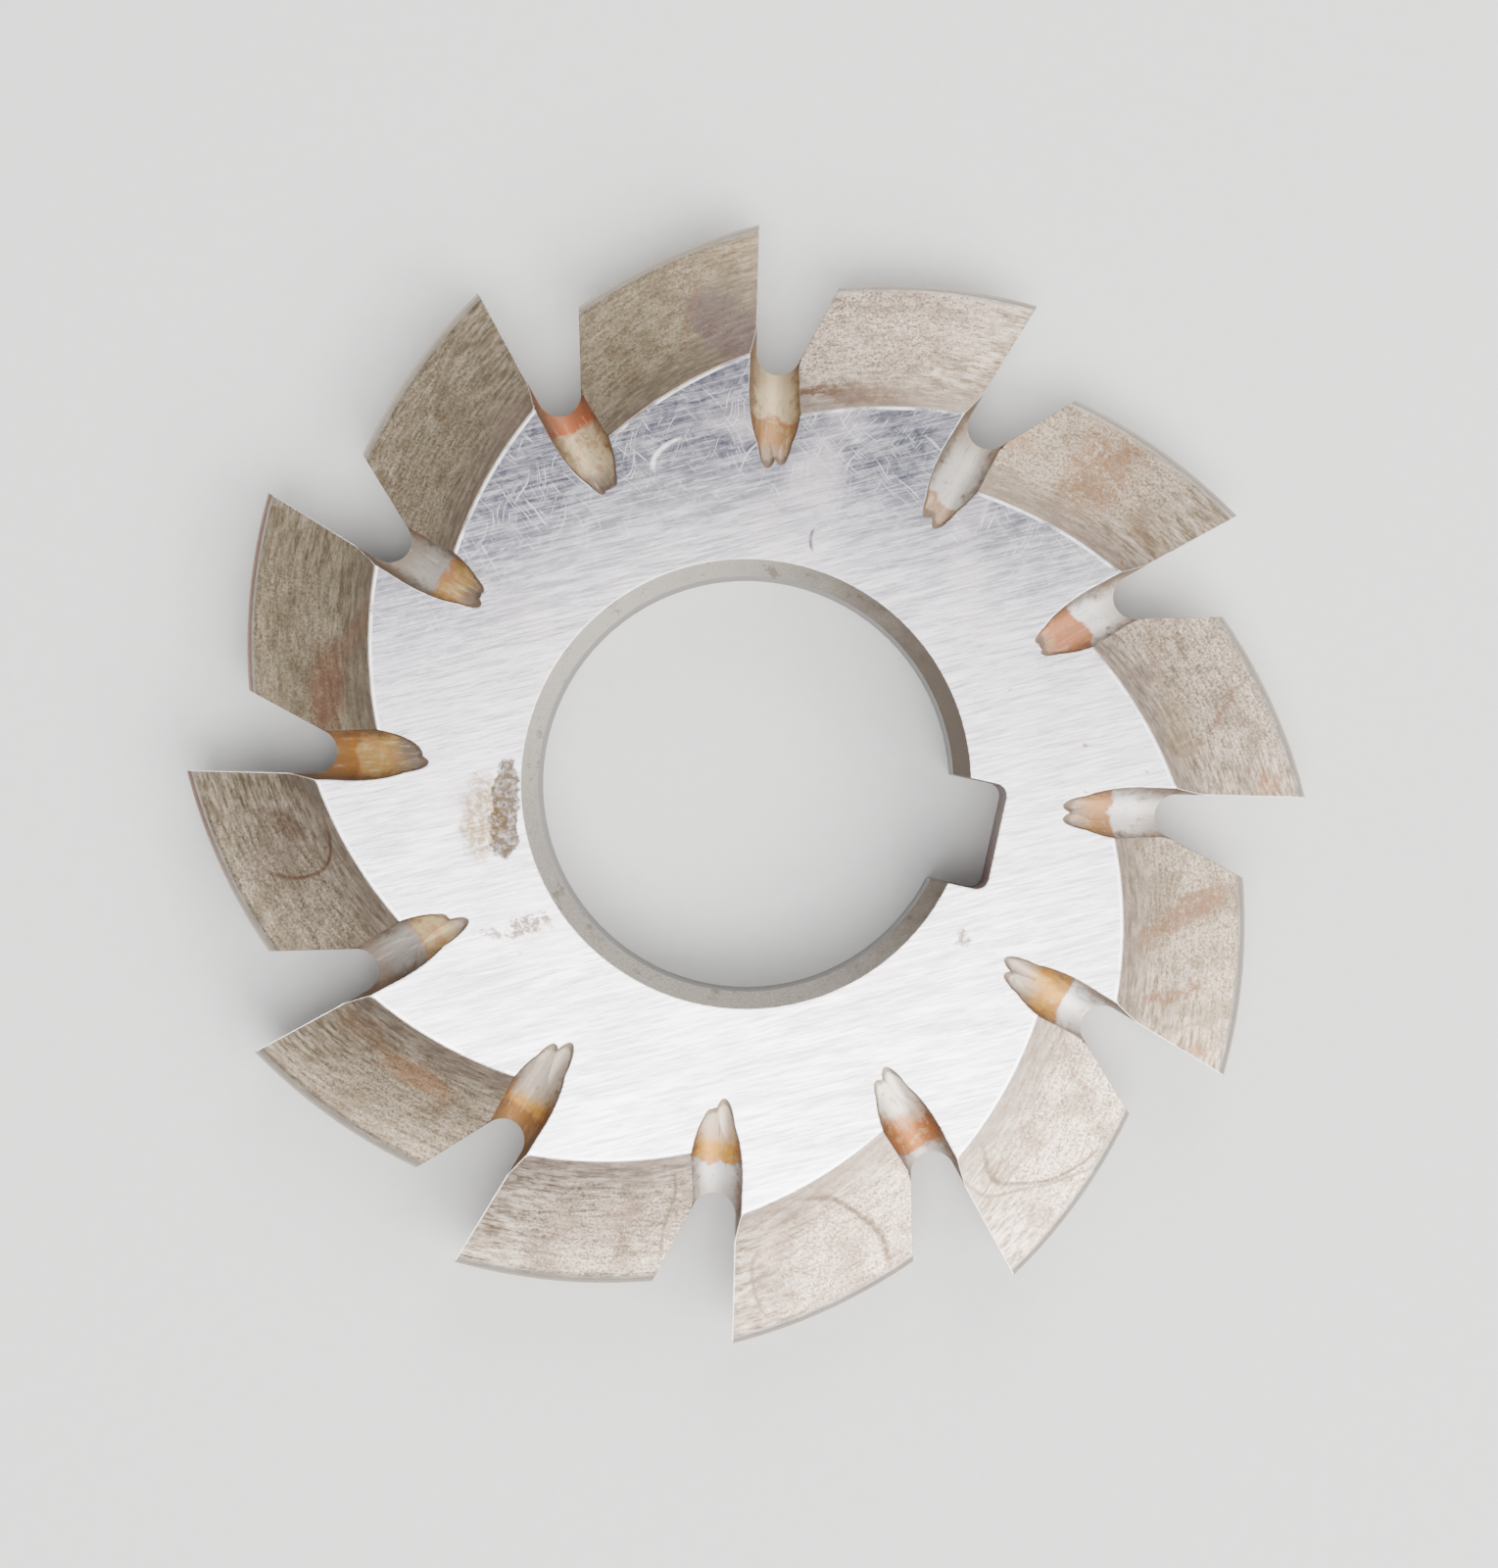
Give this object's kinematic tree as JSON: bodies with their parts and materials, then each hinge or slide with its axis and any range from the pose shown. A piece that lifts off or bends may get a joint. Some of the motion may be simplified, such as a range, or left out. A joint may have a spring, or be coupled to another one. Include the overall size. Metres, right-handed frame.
{
  "type": "disc milling cutter",
  "caption": "Form-relieved disc milling cutter for involute gear teeth, with a chamfered, keyed arbor bore and inclined gullets that run out onto both hub faces.",
  "frame": {"origin": "on the bore axis, at the level of the lower hub face", "axes": "+Z along the bore axis, +X through the middle of the keyway. Seen from +Z the teeth cut when the cutter turns clockwise."},
  "size_m": [0.0722, 0.0722, 0.0095],
  "materials": {
    "ground_hub": "fine ground, bright",
    "relieved_tooth": "relief-turned and hardened, satin, warm grey-brown"
  },
  "bodies": {
    "root": {"hub": "ground_hub", "tooth_01": "relieved_tooth", "tooth_02": "relieved_tooth", "tooth_03": "relieved_tooth", "tooth_04": "relieved_tooth", "tooth_05": "relieved_tooth", "tooth_06": "relieved_tooth", "tooth_07": "relieved_tooth", "tooth_08": "relieved_tooth", "tooth_09": "relieved_tooth", "tooth_10": "relieved_tooth", "tooth_11": "relieved_tooth", "tooth_12": "relieved_tooth"}
  },
  "joints": []
}
